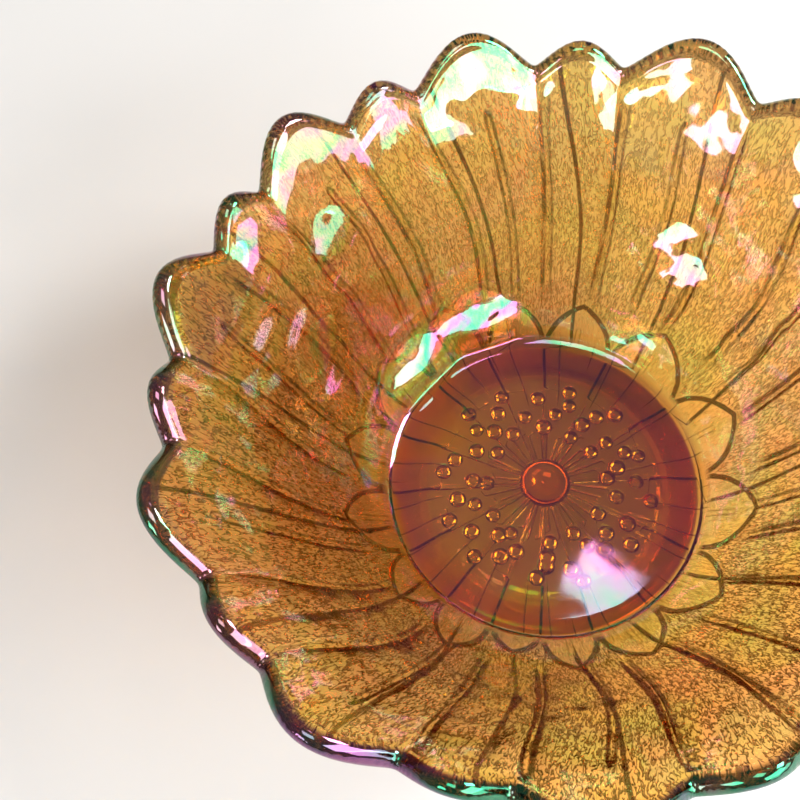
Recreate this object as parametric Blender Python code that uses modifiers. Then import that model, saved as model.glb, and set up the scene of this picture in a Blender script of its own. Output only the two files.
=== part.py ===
"""Ruffled pressed-glass bowl: one body of amber glass, standing on a low foot ring.

Frame: +Z up, metres, origin on the bowl's axis in the plane the foot ring stands on.
"""
import math

import bmesh
import bpy
from mathutils import Vector

MM = 0.001

# ---- driving sizes, millimetres ------------------------------------------------------
RIM_RADIUS = 93.5          # inner face of the wall at a notch between two petals
RIM_HEIGHT = 84.5          # height of that point above the foot plane
WELL_RADIUS = 50.5         # edge of the flat floor inside
FLOOR = 4.0                # glass thickness of the floor
WALL = 4.4                 # glass thickness of the wall
WALL_FOOT_SLOPE = 38.0     # slope of the wall where it leaves the floor, degrees
WALL_RIM_SLOPE = 50.0      # slope of the wall where it flares out at the rim
WALL_FOOT_PULL = 20.0      # how far each of those slopes is felt along the wall
WALL_RIM_PULL = 26.0
RIM_BEAD = 2.7             # radius of the rounded rim
WELL_STEP = 1.0            # height of the small step round the floor
WELL_STEP_RUN = 1.4        # radial run of that step

FOOT_HEIGHT = 4.0          # depth of the recess inside the foot ring
FOOT_INSET = 0.5           # how far the foot ring stands in from the well's edge
FOOT_FLAT = 3.2            # width of the flat the bowl stands on
FOOT_EDGE = 0.9            # rounding either side of that flat

BOSS_RADIUS = 7.2          # round knob at the flower's centre, under the floor
BOSS_CLEAR = 1.0           # gap left between the knob and whatever the bowl stands on

BEAD_RADIUS = 2.3          # seed beads round the knob
BEAD_EMBED = 0.9           # how far a bead's centre sits inside the glass
BEAD_ROWS = ((20.0, 12), (25.5, 15), (31.0, 18))    # row radius, beads in the row

# ---- petals: ten wide and ten narrow, wide first --------------------------------------
PETAL_PAIRS = 10
WIDE_SHARE = 0.6           # part of a pair's angle taken by the wide petal
FIRST_NOTCH = 67.0         # degrees, where the first wide petal starts
SWAY = 7.0                 # degrees the hand-finished rim drifts round
SWAY_PEAK = 102.0          # azimuth where that drift is largest, degrees
WIDE_FLARE = 6.0           # how far a petal's tip leans out past the notches
WIDE_RISE = 11.0           # how far it stands above them
NARROW_FLARE = 2.0
NARROW_RISE = 8.0
LOBE_POWER = 1.1           # roundness of a petal's tip
PETAL_START = 20.0         # height below which the petals are not felt
RIB_HEIGHT = 0.9           # ridge outside, at each boundary between petals
VEIN_HEIGHT = 0.6          # ridge outside, up the middle of a wide petal
RELIEF_FOOT = 0.02         # where ribs and veins start, as a part of the wall's rise
RELIEF_FULL = 0.20         # where they reach full height
RIB_TOP = 0.94             # where a rib starts to run out
VEIN_TOP = 0.76            # where a vein starts to run out
RUN_OUT = 0.06             # length over which they run out
FOLD_POWER = 1.5           # how late up the wall the petals cup
RADIUS_WAVES = ((1, 1.2, -90.0), (2, 1.9, 65.0), (3, 0.7, -10.0))   # waves round, size, azimuth of a crest
HEIGHT_WAVES = ((2, 4.0, 8.0),)

COLUMNS_PER_PETAL = 8
RIM_STEPS = 5
ALONG_STEP = 0.001
WALL_STATIONS = (0.1, 0.24, 0.4, 0.56, 0.7, 0.82, 0.92, 1.0)
COLUMN_PLACES = (0.0, 0.09, 0.26, 0.43, 0.5, 0.57, 0.74, 0.91, 1.0)

# ---- what follows from them ------------------------------------------------------------
PETALS = 2 * PETAL_PAIRS
COLUMNS = PETALS * COLUMNS_PER_PETAL
PAIR_ANGLE = 360.0 / PETAL_PAIRS
FLOOR_TOP = FOOT_HEIGHT + FLOOR
WELL_TOP = FLOOR_TOP + WELL_STEP
FOOT_OUTER = WELL_RADIUS - FOOT_INSET
FOOT_INNER = FOOT_OUTER - FOOT_FLAT - 2.0 * FOOT_EDGE
BOSS_DROP = FOOT_HEIGHT - BOSS_CLEAR


def collection(name):
    """A collection of this name, linked to the scene."""
    made = bpy.data.collections.new(name)
    bpy.context.scene.collection.children.link(made)
    return made


def clear_scene():
    for item in list(bpy.data.objects):
        bpy.data.objects.remove(item, do_unlink=True)
    for group in list(bpy.data.collections):
        bpy.data.collections.remove(group)


def glass_material():
    """Clear amber glass with a thin iridescent coat."""
    mat = bpy.data.materials.new("amber_glass")
    mat.use_nodes = True
    shader = mat.node_tree.nodes["Principled BSDF"]
    shader.inputs["Base Color"].default_value = (0.80, 0.38, 0.07, 1.0)
    shader.inputs["Roughness"].default_value = 0.04
    shader.inputs["IOR"].default_value = 1.5
    shader.inputs["Transmission Weight"].default_value = 0.9
    return mat


def sloped(degrees):
    return Vector((math.cos(math.radians(degrees)), math.sin(math.radians(degrees))))


def wall_point(along, outward):
    """A point of the wall's section, `along` 0..1 up it and `outward` mm from its inner face."""
    foot = Vector((WELL_RADIUS, WELL_TOP))
    rim = Vector((RIM_RADIUS, RIM_HEIGHT))
    handles = (
        foot,
        foot + sloped(WALL_FOOT_SLOPE) * WALL_FOOT_PULL,
        rim - sloped(WALL_RIM_SLOPE) * WALL_RIM_PULL,
        rim,
    )
    back = 1.0 - along
    face = (
        handles[0] * back**3
        + handles[1] * 3.0 * back**2 * along
        + handles[2] * 3.0 * back * along**2
        + handles[3] * along**3
    )
    slope = (
        (handles[1] - handles[0]) * back**2
        + (handles[2] - handles[1]) * 2.0 * back * along
        + (handles[3] - handles[2]) * along**2
    ).normalized()
    return face + Vector((slope.y, -slope.x)) * outward


def along_at(height):
    """How far up the wall's middle surface a height lies, 0..1, found by halving."""
    low = 0.0
    high = 1.0
    while high - low > ALONG_STEP:
        middle = (low + high) / 2.0
        if wall_point(middle, WALL / 2.0).y < height:
            low = middle
        else:
            high = middle
    return low


def rim_points():
    """The rounded rim, from the inner face over the top to the outer face."""
    inner = wall_point(1.0, 0.0)
    outer = wall_point(1.0, WALL)
    centre = (inner + outer) / 2.0
    across = (outer - inner).normalized()
    up = Vector((-across.y, across.x))
    for i in range(RIM_STEPS + 1):
        turn = math.pi * i / RIM_STEPS
        yield centre + up * RIM_BEAD * (1.0 + math.sin(turn)) - across * RIM_BEAD * math.cos(turn)


def foot_points():
    """Outer side, flat and inner side of the foot ring."""
    flat_outer = FOOT_OUTER - FOOT_EDGE
    flat_inner = flat_outer - FOOT_FLAT
    return [
        Vector((FOOT_OUTER, FOOT_EDGE)),
        Vector((flat_outer, 0.0)),
        Vector((flat_inner, 0.0)),
        Vector((FOOT_INNER, FOOT_EDGE)),
        Vector((FOOT_INNER - FOOT_EDGE, FOOT_HEIGHT)),
    ]


def boss_points():
    """The knob's quarter-ellipse section, ending on the axis."""
    steps = 4
    for i in range(steps + 1):
        turn = 0.5 * math.pi * i / steps
        yield Vector((BOSS_RADIUS * math.cos(turn), FOOT_HEIGHT - BOSS_DROP * math.sin(turn)))


def bowl_section():
    """Half section of the bowl: floor, inner face, rim, outer face, foot, underside."""
    points = [Vector((0.0, FLOOR_TOP)), Vector((WELL_RADIUS - WELL_STEP_RUN, FLOOR_TOP))]
    points.append(Vector((WELL_RADIUS, WELL_TOP)))
    points.extend(wall_point(along, 0.0) for along in WALL_STATIONS)
    points.extend(rim_points())
    points.extend(wall_point(along, WALL) for along in reversed(WALL_STATIONS))
    points.extend(foot_points())
    points.extend(boss_points())
    return points


def turned(name, points, steps):
    """A body turned about Z from a half section given in millimetres."""
    mesh = bpy.data.meshes.new(name)
    coords = [(p.x * MM, 0.0, p.y * MM) for p in points]
    edges = [(i, i + 1) for i in range(len(coords) - 1)]
    mesh.from_pydata(coords, edges, [])
    obj = bpy.data.objects.new(name, mesh)
    bpy.context.scene.collection.objects.link(obj)
    screw = obj.modifiers.new("turn", "SCREW")
    screw.axis = "Z"
    screw.angle = 2.0 * math.pi
    screw.steps = steps
    screw.render_steps = steps
    screw.use_merge_vertices = True
    screw.merge_threshold = 0.00001
    screw.use_normal_calculate = True
    return obj


def applied(obj):
    """Replace an object's mesh by what its modifiers give, and drop them."""
    graph = bpy.context.evaluated_depsgraph_get()
    mesh = bpy.data.meshes.new_from_object(obj.evaluated_get(graph))
    obj.modifiers.clear()
    old = obj.data
    obj.data = mesh
    bpy.data.meshes.remove(old)
    mesh.name = obj.name
    return obj


def fade(value, start, end):
    """0 before start, 1 after end, smooth between."""
    t = min(max((value - start) / (end - start), 0.0), 1.0)
    return t * t * (3.0 - 2.0 * t)


def crowded(fraction):
    """Column places inside one petal, crowded towards its edges and its vein."""
    place = fraction * COLUMNS_PER_PETAL
    low = min(int(place), COLUMNS_PER_PETAL - 1)
    part = place - low
    return COLUMN_PLACES[low] * (1.0 - part) + COLUMN_PLACES[low + 1] * part


def petal_place(azimuth):
    """Is the petal wide, the fraction across it, and its azimuth on the finished bowl."""
    turn = azimuth % 360.0 / 360.0 * PETALS
    number = int(turn) % PETALS
    across = crowded(turn - int(turn))
    wide = number % 2 == 0
    start = (number // 2) * PAIR_ANGLE
    width = PAIR_ANGLE * WIDE_SHARE
    if not wide:
        start += width
        width = PAIR_ANGLE - width
    return wide, across, start + width * across + FIRST_NOTCH


def ruffle(waves, azimuth):
    """Slow wave of the rim at an azimuth, from its components."""
    return sum(size * math.cos(math.radians(count * (azimuth - crest))) for count, size, crest in waves)


def petal_point(co):
    """Where a point of the turned blank lies on the finished bowl, all in millimetres."""
    radius = math.hypot(co.x, co.y)
    if radius < 0.001:
        return co
    wide, across, azimuth = petal_place(math.degrees(math.atan2(co.y, co.x)))
    felt = fade(co.z, PETAL_START, RIM_HEIGHT + RIM_BEAD) ** FOLD_POWER
    lobe = math.sin(math.pi * min(max(across, 0.0), 1.0)) ** LOBE_POWER
    flare = WIDE_FLARE if wide else NARROW_FLARE
    rise = WIDE_RISE if wide else NARROW_RISE
    new_radius = radius + felt * (flare * lobe + ruffle(RADIUS_WAVES, azimuth))
    height = co.z + felt * (rise * lobe + ruffle(HEIGHT_WAVES, azimuth))
    drift = SWAY * felt * math.cos(math.radians(azimuth - SWAY_PEAK))
    turn = math.radians(azimuth + drift)
    return Vector((new_radius * math.cos(turn), new_radius * math.sin(turn), height))


def relief(co):
    """Height of the moulded ribs at a point of the turned blank's outer face."""
    wide, across, _ = petal_place(math.degrees(math.atan2(co.y, co.x)))
    edge = min(across, 1.0 - across) / COLUMN_PLACES[1]
    up = along_at(co.z)
    start = fade(up, RELIEF_FOOT, RELIEF_FULL)
    height = RIB_HEIGHT * max(0.0, 1.0 - edge) * start * (1.0 - fade(up, RIB_TOP, RIB_TOP + RUN_OUT))
    if wide:
        middle = abs(across - 0.5) / (COLUMN_PLACES[4] - COLUMN_PLACES[3])
        end = 1.0 - fade(up, VEIN_TOP, VEIN_TOP + RUN_OUT)
        height = max(height, VEIN_HEIGHT * max(0.0, 1.0 - middle) * start * end)
    return height


def is_outer_wall(co):
    """Is a point of the turned blank on the outer face of its wall?"""
    if co.z < FOOT_HEIGHT or co.z > RIM_HEIGHT:
        return False
    return math.hypot(co.x, co.y) > wall_point(along_at(co.z), WALL / 2.0).x


def shape_petals(obj):
    """Raise the ribs on the outer face, then bend the turned blank into its petals."""
    for vert in obj.data.vertices:
        co = vert.co / MM
        if is_outer_wall(co):
            radius = math.hypot(co.x, co.y)
            scale = (radius + relief(co)) / radius
            co = Vector((co.x * scale, co.y * scale, co.z))
        vert.co = petal_point(co) * MM


def seed_beads():
    """All beads of the flower's centre, as one body of small balls."""
    mesh = bpy.data.meshes.new("seed_beads")
    balls = bmesh.new()
    for row, (radius, count) in enumerate(BEAD_ROWS):
        for i in range(count):
            turn = 2.0 * math.pi * (i + 0.5 * (row % 2)) / count
            seat = Vector((radius * math.cos(turn), radius * math.sin(turn), FOOT_HEIGHT + BEAD_EMBED))
            made = bmesh.ops.create_icosphere(balls, subdivisions=1, radius=BEAD_RADIUS * MM)
            bmesh.ops.translate(balls, verts=made["verts"], vec=seat * MM)
    balls.to_mesh(mesh)
    balls.free()
    return bpy.data.objects.new("seed_beads", mesh)


def join_solid(obj, tool, group):
    """Fuse a tool body into the bowl with an exact boolean, tool kept out of render."""
    group.objects.link(tool)
    tool.hide_render = True
    tool.display_type = "WIRE"
    union = obj.modifiers.new("beads", "BOOLEAN")
    union.operation = "UNION"
    union.solver = "EXACT"
    union.object = tool


def main():
    clear_scene()
    part_group = collection("ruffled_glass_bowl")
    tools = collection("cutters")
    bowl = applied(turned("bowl", bowl_section(), COLUMNS))
    shape_petals(bowl)
    bpy.context.scene.collection.objects.unlink(bowl)
    part_group.objects.link(bowl)
    bowl.data.materials.append(glass_material())
    join_solid(bowl, seed_beads(), tools)
    for face in bowl.data.polygons:
        face.use_smooth = True


main()
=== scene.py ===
"""Ruffled amber carnival-glass bowl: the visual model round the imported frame.

One closed glass body, moulded on its outer face with a flower: a knob, seed beads,
a ring of small petals, and ribs and veins that run up to the petals of the rim.
"""
import math

import bpy
import numpy as np
from mathutils import Matrix, Vector


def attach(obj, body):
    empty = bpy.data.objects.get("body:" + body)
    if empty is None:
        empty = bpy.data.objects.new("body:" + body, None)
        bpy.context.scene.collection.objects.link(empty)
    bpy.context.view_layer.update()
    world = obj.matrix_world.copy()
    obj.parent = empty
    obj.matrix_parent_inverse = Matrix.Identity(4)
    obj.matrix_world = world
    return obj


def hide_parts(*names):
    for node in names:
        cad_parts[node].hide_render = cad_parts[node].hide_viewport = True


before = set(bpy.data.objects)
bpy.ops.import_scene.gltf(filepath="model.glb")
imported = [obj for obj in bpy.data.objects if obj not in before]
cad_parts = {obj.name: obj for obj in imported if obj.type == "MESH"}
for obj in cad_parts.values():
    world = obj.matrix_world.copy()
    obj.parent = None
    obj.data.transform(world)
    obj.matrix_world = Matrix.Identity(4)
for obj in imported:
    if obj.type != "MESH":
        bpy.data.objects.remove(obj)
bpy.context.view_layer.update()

MM = 0.001

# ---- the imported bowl's own sizes, millimetres and degrees ------------------------------
RIM_RADIUS, RIM_HEIGHT = 93.5, 84.5
WELL_RADIUS = 50.5
WALL = 4.4
WALL_FOOT_SLOPE, WALL_RIM_SLOPE = 38.0, 50.0
WALL_FOOT_PULL, WALL_RIM_PULL = 20.0, 26.0
RIM_BEAD = 2.7
FLOOR_TOP, WELL_TOP = 8.0, 9.0
FOOT_HEIGHT, FOOT_OUTER, FOOT_EDGE, FOOT_FLAT = 4.0, 50.0, 0.9, 3.2
FOOT_INNER = FOOT_OUTER - FOOT_FLAT - 2.0 * FOOT_EDGE
BOSS_RADIUS, BOSS_DROP = 7.2, 3.0
PETAL_PAIRS, WIDE_SHARE, FIRST_NOTCH = 10, 0.6, 67.0
PAIR_ANGLE = 360.0 / PETAL_PAIRS
SWAY, SWAY_PEAK = 7.0, 102.0
WIDE_FLARE, WIDE_RISE, NARROW_FLARE, NARROW_RISE = 6.0, 11.0, 2.0, 8.0
LOBE_POWER, FOLD_POWER, PETAL_START = 1.1, 1.5, 20.0
RADIUS_WAVES = ((1, 1.2, -90.0), (2, 1.9, 65.0), (3, 0.7, -10.0))
HEIGHT_WAVES = ((2, 4.0, 8.0),)

# ---- mesh density ---------------------------------------------------------------------
WIDE_COLUMNS, NARROW_COLUMNS = 37, 25
COLUMNS = PETAL_PAIRS * (WIDE_COLUMNS + NARROW_COLUMNS)
CROWDING = 0.6             # how far columns crowd towards ribs and veins up the wall
INNER_ROWS, RIM_ROWS, COVE_ROWS, UNDER_ROWS, BOSS_ROWS = 22, 11, 8, 31, 9
LOW_ROWS, HIGH_ROWS = 34, 29         # of the outer wall, closer where the small petals are
LOW_SHARE = 0.36           # part of the outer wall that the low rows take
FAR = 99.0                 # a distance in mm that is out of reach of every moulded line

# ---- softening that only the visual model has, millimetres -----------------------------
COVE_RUN = 11.0            # how far the foot ring's inner side runs up into the underside
NOTCH_ROUND = 0.10         # softness of a notch between two petals
FILLET = 1.3               # glass that fills the corner between floor and wall

# ---- moulded relief on the outer face, millimetres -------------------------------------
RIB_HALF, RIB_HIGH = 1.15, 0.85
RIB_WANDER = 2.4           # degrees a rib strays from its notch half way up
SHELF_HIGH, SHELF_RUN = 0.55, 6.0    # a petal's own step down to the rib beside it
VEIN_HALF, VEIN_HIGH = 1.3, 0.55
VEIN_TOP = 0.80
WALL_LENGTH = 78.0         # length up the outer wall, for rounding a vein's tip
LEAF_LINE, LEAF_HIGH = 0.55, 0.55
LEAF_ROOT = 33.0           # where the lines between small petals start
LEAF_SPLIT = 47.0          # where they part into two petals' edges
LEAF_POINT = 2.3           # how late a small petal narrows: 1 is a straight triangle
# azimuth in degrees and reach in mm beyond the foot of the wall, of each small petal's
# tip: read on the photo and projected through the fitted camera, then rounded
LEAF_TIPS = (
    (5.0, 17.0), (34.0, 14.5), (66.0, 14.0), (92.5, 12.0), (116.0, 12.5),
    (138.0, 19.0), (163.0, 18.0), (189.0, 18.0), (211.0, 20.0), (237.0, 14.0),
    (256.0, 19.0), (274.0, 6.0), (292.0, 14.0), (312.0, 17.5), (337.0, 16.0),
)
RAY_COUNT, RAY_START, RAY_END = 36, 8.2, 17.5
BEAD_ROWS = ((19.0, 12), (23.5, 15), (28.0, 15), (32.0, 12))
BEAD_RADIUS, BEAD_HIGH = 2.3, 1.9
TEETH = 430.0              # fine nicks round the outer half of the rim
GRAIN_RADIUS = 75.0        # radius at which the stipple's grain keeps its true width
# soft waves left in the inner face by the hand finishing, millimetres and degrees:
# middle of the wave, half its size along each axis, and how far it tilts the face up;
# most middles are where the photo's highlights fall on the mesh, rounded
INNER_WAVES = (
    ((20.0, 67.0, 46.0), (13.0, 14.0, 27.0), 9.5),
    ((27.0, 64.0, 38.0), (9.0, 10.0, 14.0), 6.0),
    ((-50.0, 24.0, 18.0), (14.0, 18.0, 11.0), 11.0),
    ((-34.0, 46.0, 20.0), (15.0, 14.0, 12.0), 11.5),
    ((-92.0, -5.0, 88.0), (18.0, 20.0, 20.0), 10.0),
    ((-72.0, 4.0, 49.0), (10.0, 12.0, 15.0), 9.0),
    ((-75.7, 30.0, 69.0), (12.0, 11.0, 18.0), 14.0),
    ((47.0, 51.0, 40.0), (8.0, 8.0, 13.0), 16.0),
)


# ---- the glass -------------------------------------------------------------------------
GLASS_IOR, FILM_IOR = 1.5, 1.9
FILM_THIN, FILM_THICK, FILM_STEADY = 260.0, 760.0, 440.0    # nanometres
GLASS_COLOUR, GLASS_DENSITY = (0.95, 0.70, 0.06, 1.0), 320.0
# painted shade colours, in order: the well's tint, the dark rim, the dark stipple strokes and
# the near black of the moulded lines
WELL_SHADE_COLOUR = (1.0, 0.74, 0.22)
RIM_SHADE_COLOUR = (0.035, 0.012, 0.007)
STROKE_SHADE_COLOUR = (0.06, 0.018, 0.008)
LINE_SHADE_COLOUR = (0.005, 0.0015, 0.001)

# ---- camera, metres and degrees --------------------------------------------------------
CAMERA_PLACE, CAMERA_AIM = (0.0, -0.1162, 0.3143), (-0.0387, -0.01985, 0.086)
CAMERA_ROLL, CAMERA_LENS, CAMERA_SENSOR = -4.8, 46.5, 36.0


# ---- section ---------------------------------------------------------------------------
def sloped(degrees):
    return np.array((math.cos(math.radians(degrees)), math.sin(math.radians(degrees))))


def wall_points(along, outward):
    """Section points of the wall and their outward normals, `along` an array of 0..1."""
    foot = np.array((WELL_RADIUS, WELL_TOP))
    rim = np.array((RIM_RADIUS, RIM_HEIGHT))
    a, b, c, d = (
        foot,
        foot + sloped(WALL_FOOT_SLOPE) * WALL_FOOT_PULL,
        rim - sloped(WALL_RIM_SLOPE) * WALL_RIM_PULL,
        rim,
    )
    t = np.asarray(along, float)[:, None]
    s = 1.0 - t
    face = a * s**3 + b * 3.0 * s**2 * t + c * 3.0 * s * t**2 + d * t**3
    slope = (b - a) * s**2 + (c - b) * 2.0 * s * t + (d - c) * t**2
    slope /= np.linalg.norm(slope, axis=1)[:, None]
    normal = np.stack((slope[:, 1], -slope[:, 0]), 1)
    return face + normal * outward, normal


def spaced(start, end, count):
    """`count` values from start to end, both kept."""
    return np.linspace(start, end, count)


def path_length(points):
    """Distance along a line of points, from its first point to each of them."""
    return np.concatenate(([0.0], np.cumsum(np.linalg.norm(np.diff(points, axis=0), axis=1))))


class Section:
    """Rows of the turned section: point, outward normal, surface distance, and where it is."""

    def __init__(self):
        self.point, self.normal, self.reach, self.up, self.face = [], [], [], [], []

    def add(self, points, normals, reach, up, face):
        """face: 0 inside, 1 rim, 2 outer wall, 3 foot, 4 underneath, 5 knob."""
        for i in range(len(points)):
            self.point.append(points[i])
            self.normal.append(normals[i])
            self.reach.append(reach[i])
            self.up.append(up[i])
            self.face.append(face)


def bowl_section():
    """The section from the middle of the floor up, over the rim, and back to the knob."""
    rows = Section()

    def flat(points, normal, up, face):
        points = np.asarray(points, float)
        count = len(points)
        rows.add(points, np.tile(normal, (count, 1)), points[:, 0], np.full(count, up), face)

    floor = [(r, FLOOR_TOP) for r in (0.6, 8.0, 18.0, 30.0, 39.0, 43.5)]
    step_shape = ((5.0, 0.06), (3.4, 0.35), (1.9, 0.95), (0.6, 1.75))
    step = [(WELL_RADIUS - inward, FLOOR_TOP + rise) for inward, rise in step_shape]
    flat(floor + step, (0.0, 1.0), 0.0, 0)
    along = 0.02 + 0.98 * spaced(0.0, 1.0, INNER_ROWS)
    points, normal = wall_points(along, 0.0)
    fillet = 1.0 - fade(along, 0.0, 0.26)
    points -= normal * (FILLET * fillet)[:, None]
    rows.add(points, -normal, path_length(points), along, 0)

    ends, way = wall_points([1.0], 0.0)
    outer_end, _ = wall_points([1.0], WALL)
    centre = (ends[0] + outer_end[0]) / 2.0
    across = way[0]
    upward = np.array((-across[1], across[0]))
    turn = spaced(0.0, math.pi, RIM_ROWS)[:, None]
    rim = centre + upward * RIM_BEAD * (1.0 + np.sin(turn)) - across * RIM_BEAD * np.cos(turn)
    out = upward * np.sin(turn) - across * np.cos(turn)
    rows.add(rim, out, RIM_RADIUS + turn[:, 0] / math.pi, 1.0 + turn[:, 0] / math.pi, 1)

    low = spaced(0.0, LOW_SHARE, LOW_ROWS)
    high = LOW_SHARE + (1.0 - LOW_SHARE) * spaced(0.0, 1.0, HIGH_ROWS)[1:]
    along = np.concatenate((low, high))
    points, normal = wall_points(along, WALL)
    reach = points[0, 0] + path_length(points)
    rows.add(points[::-1], normal[::-1], reach[::-1], along[::-1], 2)

    edge = FOOT_OUTER - FOOT_EDGE
    foot = [(51.5, 2.9), (FOOT_OUTER, FOOT_EDGE), (FOOT_OUTER - 0.26, 0.26), (edge, 0.0)]
    cove = spaced(0.0, 1.0, COVE_ROWS)
    cove_rise = FOOT_HEIGHT * 0.5 * (fade(cove, 0.0, 1.0) + cove)
    foot += list(zip(edge - FOOT_FLAT - COVE_RUN * cove, cove_rise))[:-1]
    flat(foot, (0.0, -1.0), 0.0, 3)

    under = np.concatenate((spaced(34.6, 15.6, UNDER_ROWS), [14.4, 12.8, 11.2, 9.6, 8.2]))
    flat([(r, FOOT_HEIGHT) for r in under], (0.0, -1.0), 0.0, 4)
    turn = spaced(0.0, math.pi / 2.0, BOSS_ROWS)[:-1]
    boss = [(BOSS_RADIUS * math.cos(t), FOOT_HEIGHT - BOSS_DROP * math.sin(t)) for t in turn]
    boss.append((0.25, FOOT_HEIGHT - BOSS_DROP))
    flat(boss, (0.0, -1.0), 0.0, 5)
    return rows


# ---- round the bowl --------------------------------------------------------------------
def fade(value, start, end):
    """0 before start, 1 after end, smooth between."""
    t = np.clip((value - start) / (end - start), 0.0, 1.0)
    return t * t * (3.0 - 2.0 * t)


def columns():
    """Of each column: its pair's number, is its petal wide, and the even fraction across."""
    pair, wide, across = [], [], []
    for number in range(PETAL_PAIRS):
        for count, is_wide in ((WIDE_COLUMNS, True), (NARROW_COLUMNS, False)):
            for i in range(count):
                pair.append(number)
                wide.append(is_wide)
                across.append(i / count)
    return np.array(pair), np.array(wide), np.array(across)


def ruffle(waves, azimuth):
    """Sum of the slow waves round the rim at an azimuth."""
    return sum(
        size * np.cos(np.radians(count * (azimuth - crest))) for count, size, crest in waves
    )


def turned_apart(a, b):
    """Signed difference of two azimuths, -180..180 degrees."""
    return (a - b + 180.0) % 360.0 - 180.0


def warp(radius, height, azimuth, across, wide):
    """Where a point of the plain turned bowl lies once its rim is ruffled."""
    felt = fade(height, PETAL_START, RIM_HEIGHT + RIM_BEAD) ** FOLD_POWER
    arch = np.sin(np.pi * np.clip(across, 0.0, 1.0))
    lobe = (arch**2 + NOTCH_ROUND**2) ** (LOBE_POWER / 2.0) - NOTCH_ROUND**LOBE_POWER
    flare = np.where(wide, WIDE_FLARE, NARROW_FLARE)
    rise = np.where(wide, WIDE_RISE, NARROW_RISE)
    new_radius = radius + felt * (flare * lobe + ruffle(RADIUS_WAVES, azimuth))
    new_height = height + felt * (rise * lobe + ruffle(HEIGHT_WAVES, azimuth))
    turn = np.radians(azimuth + SWAY * felt * np.cos(np.radians(azimuth - SWAY_PEAK)))
    return np.stack((new_radius * np.cos(turn), new_radius * np.sin(turn), new_height), -1)


# ---- relief ----------------------------------------------------------------------------
def rib_fields(azimuth, up, radius):
    """Distance in mm to the nearest rib's middle, signed, and to the nearest vein's outline."""
    rib = np.full(azimuth.shape, FAR)
    vein = np.full(azimuth.shape, FAR)
    arc = np.radians(1.0) * radius
    for number in range(PETAL_PAIRS):
        start = FIRST_NOTCH + PAIR_ANGLE * number
        for k, notch in enumerate((start, start + PAIR_ANGLE * WIDE_SHARE)):
            bend = np.sin(np.pi * np.clip(up, 0.0, 1.0) * 1.3)
            stray = RIB_WANDER * bend * math.sin(1.7 * number + 2.1 * k)
            gap = turned_apart(azimuth, notch + stray) * arc
            rib = np.where(np.abs(gap) < np.abs(rib), gap, rib)
        middle = start + PAIR_ANGLE * WIDE_SHARE / 2.0
        stray = 1.2 * np.sin(np.pi * up * 1.1) * math.sin(2.3 * number + 0.4)
        side = np.abs(turned_apart(azimuth, middle + stray)) * arc
        top = VEIN_TOP + 0.05 * math.sin(3.1 * number)
        beyond = np.clip(up - top, 0.0, 1.0) * WALL_LENGTH
        gap = np.hypot(side, beyond) - VEIN_HALF * (1.0 - 0.35 * np.clip(up, 0.0, 1.0))
        vein = np.where(np.abs(side) < 12.0, np.minimum(vein, gap), vein)
    return rib, vein


def leaf_fields(azimuth, reach, radius, foot_of_wall):
    """Signed distances in mm: to the small petals' outline, to the lines between their
    roots, and to the double line up their middles."""
    outline = np.full(azimuth.shape, FAR)
    root = np.full(azimuth.shape, FAR)
    inside = np.full(azimuth.shape, FAR)
    arc = np.radians(1.0) * radius
    tips = sorted(LEAF_TIPS)
    count = len(tips)
    for i, (tip, beyond) in enumerate(tips):
        before = turned_apart(tips[i - 1][0], tip) / 2.0
        after = turned_apart(tips[(i + 1) % count][0], tip) / 2.0
        gap = turned_apart(azimuth, tip)
        half = np.where(gap < 0.0, -before, after)
        length = foot_of_wall + beyond - LEAF_SPLIT
        s = (reach - LEAF_SPLIT) / length
        width = half * (1.0 - np.clip(s, 0.0, 1.0) ** LEAF_POINT)
        narrowing = LEAF_POINT * np.clip(s, 0.0, 1.0) ** (LEAF_POINT - 1.0)
        slant = -half * narrowing / length * arc
        edge = (np.abs(gap) - width) * arc / np.sqrt(1.0 + slant**2)
        past = np.clip(reach - foot_of_wall - beyond, 0.0, None)
        edge = np.where(past > 0.0, np.hypot(gap * arc, past), edge)
        near = np.abs(gap) < np.maximum(-before, after) * 1.3
        outline = np.where(near, np.minimum(outline, edge), outline)
        side = (gap - after) * arc
        root = np.where(np.abs(side) < np.abs(root), side, root)
        ends = np.clip(44.0 - reach, 0.0, None)
        ends = ends + np.clip(reach - (foot_of_wall + beyond - 9.0), 0.0, None)
        ended = fade(ends, 0.0, 2.0)
        mid = np.abs(gap) * arc - 0.8 * (1.0 - ended) + 4.0 * ended
        inside = np.where(near & (np.abs(mid) < np.abs(inside)), mid, inside)
    root = root + 9.0 * (1.0 - fade(reach, LEAF_ROOT - 1.5, LEAF_ROOT))
    root = root + 9.0 * fade(reach, LEAF_SPLIT + 2.0, LEAF_SPLIT + 4.0)
    return outline, root, inside


def ray_field(azimuth, radius):
    """Signed distance in mm to the fine lines that run out from the knob."""
    pitch = 360.0 / RAY_COUNT
    number = np.round(azimuth / pitch)
    gap = (azimuth - number * pitch - 1.6 * np.sin(number * 2.7)) * np.radians(1.0) * radius
    end = RAY_END + 2.0 * np.sin(number * 1.9)
    before = 1.0 - fade(radius, RAY_START - 0.8, RAY_START)
    return gap + 3.0 * fade(radius, end, end + 2.0) + 3.0 * before


def bead_spots():
    """Centre and size of each seed bead."""
    draw = np.random.default_rng(7)
    for radius, count in BEAD_ROWS:
        shift = draw.uniform(0.0, 360.0)
        for i in range(count):
            turn = math.radians(shift + (i + draw.uniform(-0.2, 0.2)) * 360.0 / count)
            out = radius + draw.uniform(-1.3, 1.3)
            size = BEAD_RADIUS * draw.uniform(0.86, 1.06)
            yield out * math.cos(turn), out * math.sin(turn), size


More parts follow.
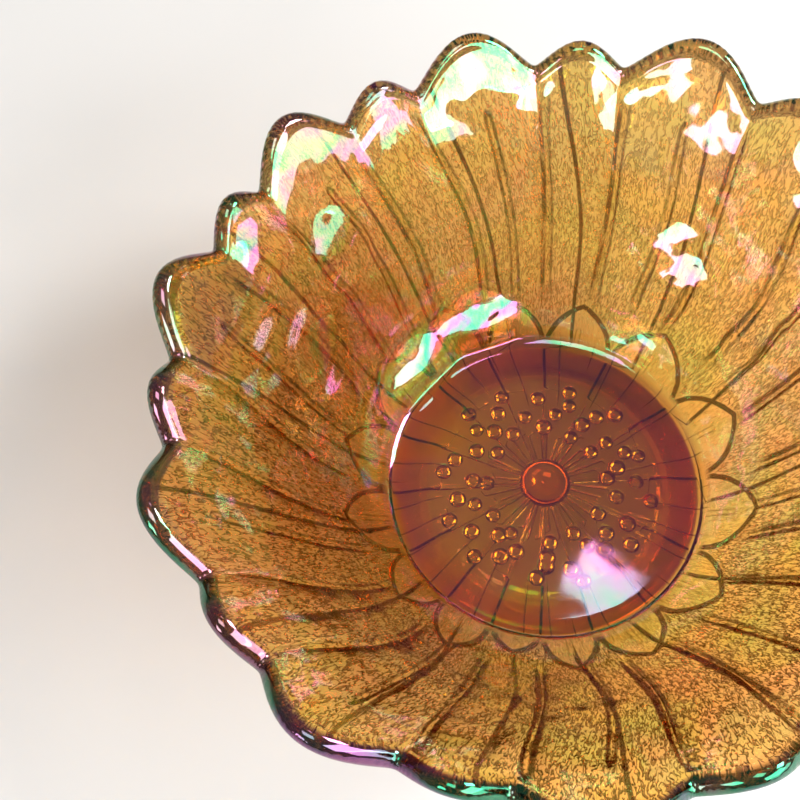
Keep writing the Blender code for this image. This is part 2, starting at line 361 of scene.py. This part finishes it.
def bead_height(x, y):
    """Height of the bead domes, and the signed distance in mm to the nearest bead's edge."""
    height = np.zeros(x.shape)
    edge = np.full(x.shape, 20.0)
    for bx, by, size in bead_spots():
        away = np.hypot(x - bx, y - by)
        part = np.clip(1.0 - (away / size) ** 2, 0.0, 1.0)
        height = np.maximum(height, BEAD_HIGH * size / BEAD_RADIUS * part**0.8)
        edge = np.minimum(edge, away - size)
    return height, edge


def rounded(distance, half):
    """Cross-section of a moulded line: 1 on its middle, 0 from `half` mm away."""
    return np.clip(1.0 - (distance / half) ** 2, 0.0, 1.0) ** 0.8


# ---- the mesh --------------------------------------------------------------------------
def bowl_arrays():
    """Positions and shading fields of every row and column."""
    rows = bowl_section()
    point = np.array(rows.point)
    normal = np.array(rows.normal)
    reach = np.array(rows.reach)[:, None]
    up = np.array(rows.up)[:, None]
    face = np.array(rows.face)[:, None]
    pair, wide, even = columns()
    crowd = CROWDING * fade(np.where(face <= 2, up, 0.0), 0.1, 0.45)
    across_wide = even - crowd * np.sin(4.0 * np.pi * even) / (4.0 * np.pi)
    across_narrow = even - crowd * np.sin(2.0 * np.pi * even) / (2.0 * np.pi)
    across = np.where(wide, across_wide, across_narrow)
    width = np.where(wide, PAIR_ANGLE * WIDE_SHARE, PAIR_ANGLE * (1.0 - WIDE_SHARE))
    begin = FIRST_NOTCH + PAIR_ANGLE * pair + np.where(wide, 0.0, PAIR_ANGLE * WIDE_SHARE)
    azimuth = begin + width * across
    radius = np.repeat(point[:, :1], COLUMNS, 1)
    height = np.repeat(point[:, 1:], COLUMNS, 1)

    outer = (face == 2) * np.ones_like(radius)
    below = (face == 4) * np.ones_like(radius)
    beneath = (face >= 3) * np.ones_like(radius)
    foot_of_wall = wall_points([0.0], WALL)[0][0, 0]
    rib, vein = rib_fields(azimuth, up * np.ones_like(radius), radius)
    reach_here = reach * np.ones_like(radius)
    leaf, root, leaf_mid = leaf_fields(azimuth, reach_here, radius, foot_of_wall)
    ray = ray_field(azimuth % 360.0, radius)
    start = fade(reach_here, foot_of_wall + 9.0, foot_of_wall + 20.0)
    rib_end = 1.0 - fade(up, 0.93, 0.99)
    shelf = fade(SHELF_RUN - np.clip(rib, 0.0, SHELF_RUN), 0.0, SHELF_RUN) * (rib > 0.0)
    raised = RIB_HIGH * rounded(rib, RIB_HALF) + SHELF_HIGH * shelf * fade(rib, 0.0, 0.9)
    raised = start * rib_end * raised
    raised = np.maximum(raised, start * VEIN_HIGH * fade(-vein, -0.35, 0.35))
    creases = np.maximum(rounded(leaf, LEAF_LINE * 1.3), rounded(root, LEAF_LINE * 1.3))
    raised = np.maximum(raised, LEAF_HIGH * creases)
    raised = np.maximum(raised, 0.3 * rounded(leaf_mid, 0.5))
    raised *= outer
    x, y = radius * np.cos(np.radians(azimuth)), radius * np.sin(np.radians(azimuth))
    lines = np.maximum(LEAF_HIGH * creases, 0.15 * rounded(ray, 0.45))
    domes, bead_edge = bead_height(x, y)
    lines = np.maximum(lines, domes)
    raised += below * lines

    moved_radius = radius + normal[:, :1] * raised
    moved_height = height + normal[:, 1:] * raised
    place = warp(moved_radius, moved_height, azimuth, across, wide)

    turn = np.radians(azimuth)
    grain = (GRAIN_RADIUS * np.cos(turn), GRAIN_RADIUS * np.sin(turn), reach_here)
    grain = np.stack(grain, -1)
    far = 20.0
    lines = np.stack((rib, np.minimum(vein, far), np.minimum(leaf, far)), -1)
    fine = np.stack((leaf_mid, ray, np.clip(root, -far, far)), -1)
    where = np.stack((outer, beneath, up * np.ones_like(radius)), -1)
    inside = np.stack(((face == 0) * np.ones_like(radius), bead_edge, radius), -1)
    fields = {"grain": grain, "lines": lines, "fine": fine, "where": where, "inside": inside}
    return place, fields


def bowl_mesh():
    place, fields = bowl_arrays()
    row_count = len(place)
    ends = [[0.0, 0.0, FLOOR_TOP], [0.0, 0.0, FOOT_HEIGHT - BOSS_DROP]]
    verts = np.concatenate((place.reshape(-1, 3), ends)) * MM
    first, last = len(verts) - 2, len(verts) - 1
    i = np.arange(COLUMNS)
    j = (i + 1) % COLUMNS
    quads = []
    for row in range(row_count - 1):
        a, b = row * COLUMNS, (row + 1) * COLUMNS
        quads.append(np.stack((a + i, b + i, b + j, a + j), 1))
    quads = np.concatenate(quads)
    a = (row_count - 1) * COLUMNS
    top = np.stack((np.full(COLUMNS, first), i, j), 1)
    tail = np.stack((np.full(COLUMNS, last), a + j, a + i), 1)
    mesh = bpy.data.meshes.new("bowl_glass")
    mesh.from_pydata(verts.tolist(), [], quads.tolist() + top.tolist() + tail.tolist())
    mesh.update()
    for name, values in fields.items():
        ends = np.stack((values[0].mean(0), values[-1].mean(0)))
        data = np.concatenate((values.reshape(-1, 3), ends)).astype(np.float32)
        made = mesh.attributes.new(name, "FLOAT_VECTOR", "POINT")
        made.data.foreach_set("vector", data.ravel())
    corner_turn(mesh, row_count)
    mesh.shade_smooth()
    return mesh


def corner_turn(mesh, row_count):
    """How far round the bowl each face corner is, 0..1, with no jump at the seam."""
    corners = np.empty(len(mesh.loops), np.int32)
    mesh.loops.foreach_get("vertex_index", corners)
    column = (corners % COLUMNS).astype(np.float32)
    face_of = np.repeat(np.arange(len(mesh.polygons)), [p.loop_total for p in mesh.polygons])
    seam = (face_of % COLUMNS) == COLUMNS - 1
    column[seam & (column == 0.0)] = COLUMNS
    turn = np.zeros((len(corners), 3), np.float32)
    turn[:, 0] = column / COLUMNS
    made = mesh.attributes.new("turn", "FLOAT_VECTOR", "CORNER")
    made.data.foreach_set("vector", turn.ravel())


# ---- nodes -----------------------------------------------------------------------------
class Nodes:
    """Short ways to add shader nodes to one material."""

    def __init__(self, name):
        self.material = bpy.data.materials.new(name)
        self.material.use_nodes = True
        self.tree = self.material.node_tree
        self.tree.nodes.clear()

    def add(self, kind, **settings):
        node = self.tree.nodes.new(kind)
        for key, value in settings.items():
            setattr(node, key, value)
        return node

    def link(self, source, target):
        self.tree.links.new(source, target)

    def feed(self, socket, value):
        if isinstance(value, bpy.types.NodeSocket):
            self.link(value, socket)
        elif value is not None:
            socket.default_value = value

    def math(self, operation, a, b=None):
        node = self.add("ShaderNodeMath", operation=operation)
        for socket, value in zip(node.inputs, (a, b)):
            self.feed(socket, value)
        return node.outputs[0]

    def field(self, name):
        """X, Y and Z of a vector attribute."""
        node = self.add("ShaderNodeAttribute", attribute_name=name)
        split = self.add("ShaderNodeSeparateXYZ")
        self.link(node.outputs["Vector"], split.inputs[0])
        return node.outputs["Vector"], split.outputs

    def ramp(self, value, low, high, to_low=0.0, to_high=1.0, smooth=True):
        node = self.add("ShaderNodeMapRange", clamp=True)
        node.interpolation_type = "SMOOTHSTEP" if smooth else "LINEAR"
        self.feed(node.inputs["Value"], value)
        limits = {"From Min": low, "From Max": high, "To Min": to_low, "To Max": to_high}
        for key, number in limits.items():
            self.feed(node.inputs[key], number)
        return node.outputs["Result"]

    def noise(self, vector, scale, detail=2.0, roughness=0.5, distortion=0.0):
        node = self.add("ShaderNodeTexNoise")
        self.feed(node.inputs["Vector"], vector)
        node.inputs["Scale"].default_value = scale
        node.inputs["Detail"].default_value = detail
        node.inputs["Roughness"].default_value = roughness
        node.inputs["Distortion"].default_value = distortion
        return node.outputs["Fac"]

    def stretched(self, vector, scale, shift=(0.0, 0.0, 0.0)):
        node = self.add("ShaderNodeMapping")
        self.feed(node.inputs["Vector"], vector)
        node.inputs["Scale"].default_value = scale
        node.inputs["Location"].default_value = shift
        return node.outputs["Vector"]

    def mix(self, factor, a, b):
        """Colour a or b, each a socket or red, green and blue, by a factor."""
        node = self.add("ShaderNodeMix", data_type="RGBA")
        self.feed(node.inputs[0], factor)
        for socket, value in ((node.inputs[6], a), (node.inputs[7], b)):
            self.feed(socket, (*value, 1.0) if isinstance(value, tuple) else value)
        return node.outputs[2]

    def bump(self, height, strength, distance, under=None):
        node = self.add("ShaderNodeBump")
        self.feed(node.inputs["Height"], height)
        node.inputs["Strength"].default_value = strength
        node.inputs["Distance"].default_value = distance
        if under is not None:
            self.link(under, node.inputs["Normal"])
        return node.outputs["Normal"]


def glass_material():
    n = Nodes("amber_carnival_glass")
    grain, grain_axes = n.field("grain")
    _, (rib, vein, leaf) = n.field("lines")
    _, (leaf_mid, ray, root) = n.field("fine")
    _, (outer, below, up) = n.field("where")
    _, (inside, bead, radius) = n.field("inside")
    _, (turn, _, _) = n.field("turn")
    position = n.add("ShaderNodeTexCoord").outputs["Object"]
    split = n.add("ShaderNodeSeparateXYZ")
    n.link(position, split.inputs[0])
    place = split.outputs

    def near(distance, full, none, most=1.0):
        """`most` within `full` mm of a moulded line, 0 beyond `none`."""
        return n.ramp(n.math("ABSOLUTE", distance), full, none, most, 0.0)

    def times(*values):
        product = values[0]
        for value in values[1:]:
            product = n.math("MULTIPLY", product, value)
        return product

    def either(*values):
        largest = values[0]
        for value in values[1:]:
            largest = n.math("MAXIMUM", largest, value)
        return largest

    # stipple: short strokes that run up the outer wall
    strokes = n.noise(n.stretched(grain, (1.35, 1.35, 0.36)), 1.0, 1.0, 0.5, 0.7)
    gaps = n.noise(n.stretched(grain, (0.9, 0.9, 0.5), (5.0, 9.0, 2.0)), 1.0, 1.0, 0.5)
    contour = n.math("ABSOLUTE", n.math("SUBTRACT", strokes, 0.5))
    strokes = n.ramp(contour, 0.025, 0.08, 1.0, 0.0)
    strokes = times(strokes, n.ramp(gaps, 0.35, 0.47))
    stipple_on = times(outer, n.ramp(leaf, 0.6, 1.6, 0.35, 1.0))
    stroke_shade = times(strokes, stipple_on)

    # moulded lines: painted shade, near black along their edges and beside each rib
    above_leaves = n.ramp(grain_axes[2], 62.0, 74.0)
    broken = n.noise(n.stretched(grain, (0.5, 0.5, 0.09)), 1.0, 2.0, 0.6)
    rib_edge_shade = either(
        near(n.math("SUBTRACT", rib, 1.45), 0.5, 1.1),
        near(n.math("ADD", rib, 1.2), 0.2, 0.65, 0.75),
    )
    fold_shade = times(n.ramp(rib, 0.6, 1.4), n.ramp(rib, 1.4, 5.5, 0.40, 0.0))
    ribs = either(rib_edge_shade, near(vein, 0.25, 0.75, 0.9))
    ribs = times(ribs, n.ramp(broken, 0.30, 0.52, 0.55, 1.0))
    ribs = times(either(ribs, fold_shade), above_leaves, n.ramp(up, 0.9, 0.97, 1.0, 0.0))
    uneven = n.noise(grain, 0.35, 1.0, 0.5)
    leaf_edge = n.math("ADD", leaf, n.math("MULTIPLY", uneven, 0.6))
    leaves = either(near(leaf_edge, 0.65, 1.08), near(root, 0.42, 0.82))
    wall_line_shade = times(either(ribs, leaves, near(leaf_mid, 0.1, 0.4, 0.6)), outer)
    # painted shade round the edge of each seed bead and of the knob, and along the fine rays
    # underneath
    bead_rim_shade = near(n.math("ADD", bead, 0.25), 0.35, 0.75, 0.9)
    knob_rim_shade = near(n.math("SUBTRACT", radius, 7.3), 0.5, 1.1, 0.92)
    under_line_shade = either(near(ray, 0.12, 0.4, 0.8), near(root, 0.25, 0.6), bead_rim_shade, knob_rim_shade)
    under_line_shade = times(under_line_shade, below)
    line_shade = either(wall_line_shade, under_line_shade)

    # colour: patches of orange, olive and red-brown in the glass, then painted shade on the
    # well, the rim, the strokes and the moulded lines
    patch = n.noise(position, 16.0, 2.0, 0.5, 0.4)
    moved = n.stretched(position, (1.0, 1.0, 1.0), (3.0, 1.0, 7.0))
    patch_b = n.noise(moved, 11.0, 2.0, 0.5, 0.4)
    body = n.mix(n.ramp(patch, 0.35, 0.68), (1.0, 0.80, 0.62), (0.97, 0.90, 0.46))
    body = n.mix(n.ramp(patch_b, 0.5, 0.75), body, (1.0, 0.72, 0.46))
    # painted shade: the glass under the floor is tinted darker red-brown, fading out past 36
    # mm, for the shaded table inside the foot ring
    well_shade = times(below, n.ramp(radius, 36.0, 44.0, 1.0, 0.6))
    body = n.mix(well_shade, body, WELL_SHADE_COLOUR)
    comb = n.math("SINE", times(turn, 2.0 * math.pi * TEETH))
    comb = n.math("ADD", comb, n.ramp(broken, 0.3, 0.7, -0.9, 0.9, False))
    outer_rim = times(n.ramp(up, 1.42, 1.55), n.ramp(up, 1.93, 2.0, 1.0, 0.3))
    # the rim and the strokes are darker towards -Y, which is nearest the photo's camera
    # painted shade: the rim bead is painted near black, darker on the -Y side, and in stripes
    # along its teeth
    near_side_shade = n.ramp(place[1], -0.05, 0.04, 0.93, 0.62)
    comb_shade = times(n.ramp(comb, -0.3, 0.4), outer_rim)
    rim_shade = either(times(n.ramp(up, 0.98, 1.2), near_side_shade), times(comb_shade, 0.97))
    body = n.mix(times(rim_shade, n.ramp(up, 0.96, 1.1)), body, RIM_SHADE_COLOUR)
    # painted shade: the stipple's strokes are painted dark brown, more on the -Y side
    near_side_stroke_shade = n.ramp(place[1], -0.03, 0.03, 0.92, 0.55)
    body = n.mix(times(stroke_shade, near_side_stroke_shade), body, STROKE_SHADE_COLOUR)
    # painted shade: near black along the moulded lines
    body = n.mix(times(line_shade, 0.97), body, LINE_SHADE_COLOUR)

    # surface
    teeth = times(comb, outer_rim, n.ramp(place[1], -0.06, 0.0, 0.15, 1.0))
    normal = n.bump(times(strokes, stipple_on), 0.8, 0.0002)
    normal = n.bump(teeth, 0.6, 0.0003, normal)
    ripple = n.noise(position, 75.0, 1.0, 0.5)
    rippled = times(n.ramp(inside, 0.0, 1.0, 0.3, 1.0), n.ramp(radius, 48.0, 56.0, 0.12, 1.0))
    normal = n.bump(times(ripple, rippled), 1.0, 0.0008, normal)
    wave = None
    for middle, half, tilt in INNER_WAVES:
        shift = n.add("ShaderNodeVectorMath", operation="SUBTRACT")
        n.link(position, shift.inputs[0])
        shift.inputs[1].default_value = Vector(middle) * MM
        scaled = n.add("ShaderNodeVectorMath", operation="MULTIPLY")
        n.link(shift.outputs[0], scaled.inputs[0])
        scaled.inputs[1].default_value = [1.0 / (size * MM) for size in half]
        away = n.add("ShaderNodeVectorMath", operation="LENGTH")
        n.link(scaled.outputs[0], away.inputs[0])
        window = n.ramp(away.outputs["Value"], 0.45, 1.25, 1.0, 0.0)
        rise = n.math("SUBTRACT", place[2], middle[2] * MM)
        one = times(rise, window, -1.15 * math.tan(math.radians(tilt)) / MM)
        wave = one if wave is None else n.math("ADD", wave, one)
    normal = n.bump(times(wave, inside), 1.0, MM, normal)

    # iridescent film, its thickness in nanometres, steadier on the well's floor and the rim
    film = n.math("ADD", n.noise(position, 22.0, 3.0, 0.55, 0.8), times(up, 0.15))
    thickness = n.ramp(film, 0.3, 0.9, FILM_THIN, FILM_THICK, False)
    steady_floor = times(inside, n.ramp(radius, 44.0, 52.0, 0.8, 0.0))
    steady = either(steady_floor, n.ramp(up, 0.95, 1.05, 0.0, 0.4))
    varied = times(thickness, n.math("SUBTRACT", 1.0, steady))
    thickness = n.math("ADD", varied, times(steady, FILM_STEADY))

    glass = n.add("ShaderNodeBsdfPrincipled")
    n.feed(glass.inputs["Base Color"], body)
    glass.inputs["Transmission Weight"].default_value = 1.0
    glass.inputs["IOR"].default_value = GLASS_IOR
    n.feed(glass.inputs["Roughness"], n.ramp(patch_b, 0.3, 0.7, 0.02, 0.06))
    n.feed(glass.inputs["Thin Film Thickness"], thickness)
    glass.inputs["Thin Film IOR"].default_value = FILM_IOR
    n.feed(glass.inputs["Normal"], normal)

    tint = n.add("ShaderNodeVolumeAbsorption")
    tint.inputs["Color"].default_value = GLASS_COLOUR
    tint.inputs["Density"].default_value = GLASS_DENSITY
    out = n.add("ShaderNodeOutputMaterial")
    n.link(glass.outputs[0], out.inputs["Surface"])
    n.link(tint.outputs[0], out.inputs["Volume"])
    return n.material


def floor_material():
    n = Nodes("pale_floor")
    position = n.add("ShaderNodeTexCoord").outputs["Object"]
    shade = n.noise(position, 3.0, 4.0, 0.55)
    colour = n.mix(n.ramp(shade, 0.3, 0.7), (0.68, 0.68, 0.68), (0.74, 0.74, 0.74))
    surface = n.add("ShaderNodeBsdfPrincipled")
    n.feed(surface.inputs["Base Color"], colour)
    surface.inputs["Roughness"].default_value = 0.6
    out = n.add("ShaderNodeOutputMaterial")
    n.link(surface.outputs[0], out.inputs["Surface"])
    return n.material


# ---- stage -----------------------------------------------------------------------------
def add_object(name, data):
    made = bpy.data.objects.new(name, data)
    bpy.context.scene.collection.objects.link(made)
    return made


def make_floor():
    half = 3.0
    mesh = bpy.data.meshes.new("floor")
    corners = [(-half, -half, 0.0), (half, -half, 0.0), (half, half, 0.0), (-half, half, 0.0)]
    mesh.from_pydata(corners, [], [(0, 1, 2, 3)])
    mesh.materials.append(floor_material())
    floor = add_object("floor", mesh)
    floor.location.z = -0.0004


def make_light(
    name, towards, distance, size, power, colour=(1.0, 1.0, 1.0), aim=(0.0, 0.0, 0.03)
):
    """A soft rectangular light in a direction from the bowl, facing it."""
    lamp = bpy.data.lights.new(name, "AREA")
    lamp.shape = "RECTANGLE"
    lamp.size, lamp.size_y = size
    lamp.energy = power
    lamp.color = colour
    light = add_object(name, lamp)
    way = Vector(towards).normalized()
    light.location = Vector(aim) + way * distance
    light.rotation_euler = (-way).to_track_quat("-Z", "Y").to_euler()
    return light


def make_world():
    world = bpy.data.worlds.new("studio")
    bpy.context.scene.world = world
    world.use_nodes = True
    back = world.node_tree.nodes["Background"]
    back.inputs["Color"].default_value = (1.0, 0.93, 0.84, 1.0)
    seen = world.node_tree.nodes.new("ShaderNodeLightPath")
    level = world.node_tree.nodes.new("ShaderNodeMapRange")
    level.inputs["To Min"].default_value = 0.26      # what lights the bowl
    level.inputs["To Max"].default_value = 0.80      # what stands behind it
    world.node_tree.links.new(seen.outputs["Is Camera Ray"], level.inputs["Value"])
    world.node_tree.links.new(level.outputs["Result"], back.inputs["Strength"])


def make_camera():
    lens = bpy.data.cameras.new("camera")
    lens.lens = CAMERA_LENS
    lens.sensor_width = CAMERA_SENSOR
    lens.clip_start = 0.01
    camera = add_object("camera", lens)
    place = Vector(CAMERA_PLACE)
    ahead = (Vector(CAMERA_AIM) - place).normalized()
    right = ahead.cross(Vector((0.0, 0.0, 1.0))).normalized()
    upward = right.cross(ahead)
    roll = math.radians(CAMERA_ROLL)
    side = right * math.cos(roll) + upward * math.sin(roll)
    top = side.cross(ahead)
    turn = Matrix((side, top, -ahead)).transposed()
    camera.matrix_world = Matrix.Translation(place) @ turn.to_4x4()
    bpy.context.scene.camera = camera


# ---- scene -----------------------------------------------------------------------------
bpy.context.scene.view_settings.view_transform = "Standard"
bowl = add_object("bowl_glass", bowl_mesh())
bowl.data.materials.append(glass_material())
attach(bowl, "root")
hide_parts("bowl")

make_floor()
make_world()
make_light("ceiling", (0.10, 0.27, 0.957), 1.2, (0.16, 0.07), 0.25, aim=(0.03, -0.03, 0.008))
make_light("band", (0.80, -0.36, 0.55), 1.0, (0.95, 0.42), 10.0)
make_light("window", (0.95, -0.18, 0.22), 1.2, (1.2, 0.34), 6.0, aim=(0.0, 0.0, 0.08))
make_light("front", (-0.36, -0.85, 0.37), 1.2, (0.38, 0.34), 3.2, aim=(0.0, 0.0, 0.05))
make_light("top", (0.0, -0.35, 0.94), 1.3, (0.6, 0.5), 5.0)
make_light("key", (0.74, 0.38, 0.72), 1.5, (0.5, 0.5), 22.0, (1.0, 0.98, 0.95))
make_camera()
